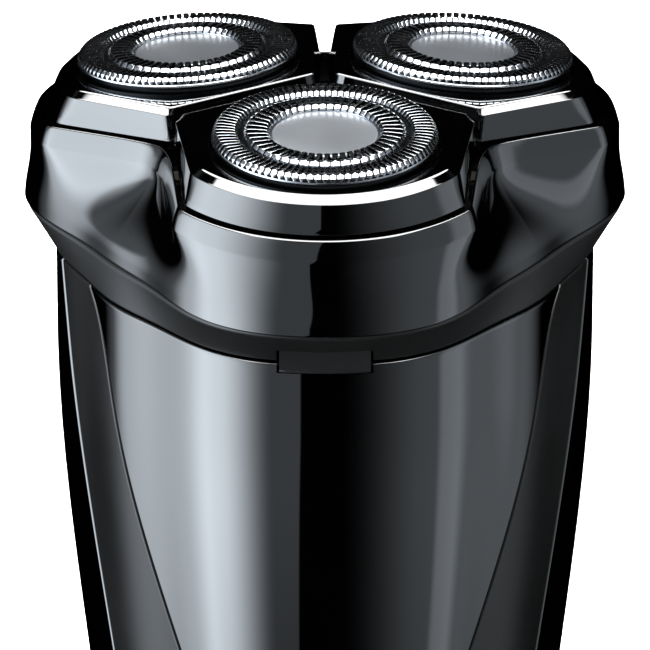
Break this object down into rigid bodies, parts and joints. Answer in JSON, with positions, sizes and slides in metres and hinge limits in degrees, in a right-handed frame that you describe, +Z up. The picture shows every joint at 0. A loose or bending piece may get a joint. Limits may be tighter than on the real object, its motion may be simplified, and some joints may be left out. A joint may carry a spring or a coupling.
{
  "type": "electric shaver",
  "caption": "Cordless rotary electric shaver: round slotted shaving heads in tilting petals, on a hinged glossy unit over a waisted handle with a front panel.",
  "frame": {"origin": "centre of the flat face that the shaver stands on", "axes": "+Z up along the handle towards the shaving heads; the front with the panel and its buttons faces -Y; +X is to the right as seen from the front"},
  "size_m": [0.0682, 0.0634, 0.1581],
  "materials": {
    "gloss_black": "polished",
    "satin_grey": "satin",
    "inner_plastic": "moulded",
    "gear_plastic": "moulded",
    "steel": "ground",
    "guard_steel": "ground and polished",
    "cap_mirror": "mirror, dark",
    "rubber": "matt",
    "motor_can": "drawn",
    "cell_sleeve": "sleeved",
    "board_green": "lacquered",
    "lens_clear": "clear"
  },
  "bodies": {
    "handle": {"rear_shell": "gloss_black", "front_panel": "gloss_black", "front_grip": "satin_grey", "base_cap": "satin_grey", "base_screws": "steel", "top_deck": "inner_plastic", "shaft_seals": "rubber", "deck_screws": "steel", "gear_plate": "inner_plastic", "plate_screws": "steel", "motor": "motor_can", "chassis": "inner_plastic", "battery": "cell_sleeve", "battery_tabs": "steel", "circuit_board": "board_green", "board_parts": "inner_plastic", "power_switch": "inner_plastic", "button_seal": "rubber", "status_lens": "lens_clear", "charge_socket": "steel", "release_springs": "steel", "hinge_pin": "steel"},
    "power_key": {"power_button": "satin_grey"},
    "release_key": {"release_button": "satin_grey"},
    "motor_rotor": {"motor_shaft": "steel", "pinion_gear": "gear_plastic"},
    "drive_1": {"drive_gear_1": "gear_plastic", "drive_shaft_1": "steel"},
    "drive_2": {"drive_gear_2": "gear_plastic", "drive_shaft_2": "steel"},
    "drive_3": {"drive_gear_3": "gear_plastic", "drive_shaft_3": "steel"},
    "head": {"head_band": "satin_grey", "head_housing": "gloss_black", "chamber_floor": "inner_plastic", "floor_screws": "steel", "petal_spring_1": "steel", "petal_spring_2": "steel", "petal_spring_3": "steel"},
    "coupling_1": {"drive_coupling_1": "gear_plastic"},
    "coupling_2": {"drive_coupling_2": "gear_plastic"},
    "coupling_3": {"drive_coupling_3": "gear_plastic"},
    "pod_1": {"petal_1": "gloss_black", "retaining_ring_1": "inner_plastic"},
    "pod_2": {"petal_2": "gloss_black", "retaining_ring_2": "inner_plastic"},
    "pod_3": {"petal_3": "gloss_black", "retaining_ring_3": "inner_plastic"},
    "foil_1": {"guard_1": "guard_steel", "guard_cap_1": "cap_mirror"},
    "foil_2": {"guard_2": "guard_steel", "guard_cap_2": "cap_mirror"},
    "foil_3": {"guard_3": "guard_steel", "guard_cap_3": "cap_mirror"},
    "blades_1": {"cutter_1": "steel"},
    "blades_2": {"cutter_2": "steel"},
    "blades_3": {"cutter_3": "steel"}
  },
  "joints": [
    {"name": "head_flip", "type": "hinge", "parent": "handle", "child": "head", "pos_m": [0, 0.0256, 0.1356], "axis": [-1, 0, 0], "range_deg": [0, 105]},
    {"name": "release_press", "type": "slide", "parent": "handle", "child": "release_key", "axis": [0, 1, 0], "range_m": [0, 0.001], "stiffness_N_per_m": 600, "springref_m": -0.0003, "deforming": ["release_springs"]},
    {"name": "power_press", "type": "slide", "parent": "handle", "child": "power_key", "axis": [0, 1, 0], "range_m": [0, 0.0005], "stiffness_N_per_m": 1200, "springref_m": -0.0002},
    {"name": "gear_spin_1", "type": "hinge", "parent": "handle", "child": "drive_1", "pos_m": [0, -0.0175, 0.13], "axis": [0, 0, 1], "continuous": true},
    {"name": "gear_spin_2", "type": "hinge", "parent": "handle", "child": "drive_2", "pos_m": [0.01516, 0.00875, 0.13], "axis": [0, 0, 1], "continuous": true},
    {"name": "gear_spin_3", "type": "hinge", "parent": "handle", "child": "drive_3", "pos_m": [-0.01516, 0.00875, 0.13], "axis": [0, 0, 1], "continuous": true},
    {"name": "pinion_spin", "type": "hinge", "parent": "handle", "child": "motor_rotor", "pos_m": [0, 0, 0.13], "axis": [0, 0, 1], "continuous": true},
    {"name": "coupling_spin_1", "type": "hinge", "parent": "head", "child": "coupling_1", "pos_m": [0, -0.0175, 0.138], "axis": [0, 0, 1], "continuous": true},
    {"name": "coupling_spin_2", "type": "hinge", "parent": "head", "child": "coupling_2", "pos_m": [0.01516, 0.00875, 0.138], "axis": [0, 0, 1], "continuous": true},
    {"name": "coupling_spin_3", "type": "hinge", "parent": "head", "child": "coupling_3", "pos_m": [-0.01516, 0.00875, 0.138], "axis": [0, 0, 1], "continuous": true},
    {"name": "petal_tilt_1", "type": "hinge", "parent": "head", "child": "pod_1", "pos_m": [0, -0.01734, 0.14802], "axis": [1, 0, 0], "range_deg": [-4, 5], "stiffness_Nm_per_rad": 0.25, "deforming": ["petal_spring_1"]},
    {"name": "petal_tilt_2", "type": "hinge", "parent": "head", "child": "pod_2", "pos_m": [0.01501, 0.00867, 0.14802], "axis": [-0.5, 0.866, 0], "range_deg": [-4, 5], "stiffness_Nm_per_rad": 0.25, "deforming": ["petal_spring_2"]},
    {"name": "petal_tilt_3", "type": "hinge", "parent": "head", "child": "pod_3", "pos_m": [-0.01501, 0.00867, 0.14802], "axis": [-0.5, -0.866, 0], "range_deg": [-4, 5], "stiffness_Nm_per_rad": 0.25, "deforming": ["petal_spring_3"]},
    {"name": "guard_float_1", "type": "slide", "parent": "pod_1", "child": "foil_1", "axis": [0, -0.0767, 0.9971], "range_m": [-0.001, 0], "stiffness_N_per_m": 500, "springref_m": 0.0005},
    {"name": "guard_float_2", "type": "slide", "parent": "pod_2", "child": "foil_2", "axis": [0.0664, 0.0384, 0.9971], "range_m": [-0.001, 0], "stiffness_N_per_m": 500, "springref_m": 0.0005},
    {"name": "guard_float_3", "type": "slide", "parent": "pod_3", "child": "foil_3", "axis": [-0.0664, 0.0384, 0.9971], "range_m": [-0.001, 0], "stiffness_N_per_m": 500, "springref_m": 0.0005},
    {"name": "cutter_spin_1", "type": "hinge", "parent": "foil_1", "child": "blades_1", "pos_m": [0, -0.01795, 0.156], "axis": [0, -0.0767, 0.9971], "continuous": true},
    {"name": "cutter_spin_2", "type": "hinge", "parent": "foil_2", "child": "blades_2", "pos_m": [0.01555, 0.00898, 0.156], "axis": [0.0664, 0.0384, 0.9971], "continuous": true},
    {"name": "cutter_spin_3", "type": "hinge", "parent": "foil_3", "child": "blades_3", "pos_m": [-0.01555, 0.00898, 0.156], "axis": [-0.0664, 0.0384, 0.9971], "continuous": true}
  ],
  "couplings": [
    {"joint": "gear_spin_2", "follows": "gear_spin_1", "ratio": 1},
    {"joint": "gear_spin_3", "follows": "gear_spin_1", "ratio": 1},
    {"joint": "pinion_spin", "follows": "gear_spin_1", "ratio": -1.5},
    {"joint": "coupling_spin_1", "follows": "gear_spin_1", "ratio": 1},
    {"joint": "cutter_spin_1", "follows": "gear_spin_1", "ratio": 1},
    {"joint": "coupling_spin_2", "follows": "gear_spin_1", "ratio": 1},
    {"joint": "cutter_spin_2", "follows": "gear_spin_1", "ratio": 1},
    {"joint": "coupling_spin_3", "follows": "gear_spin_1", "ratio": 1},
    {"joint": "cutter_spin_3", "follows": "gear_spin_1", "ratio": 1}
  ]
}
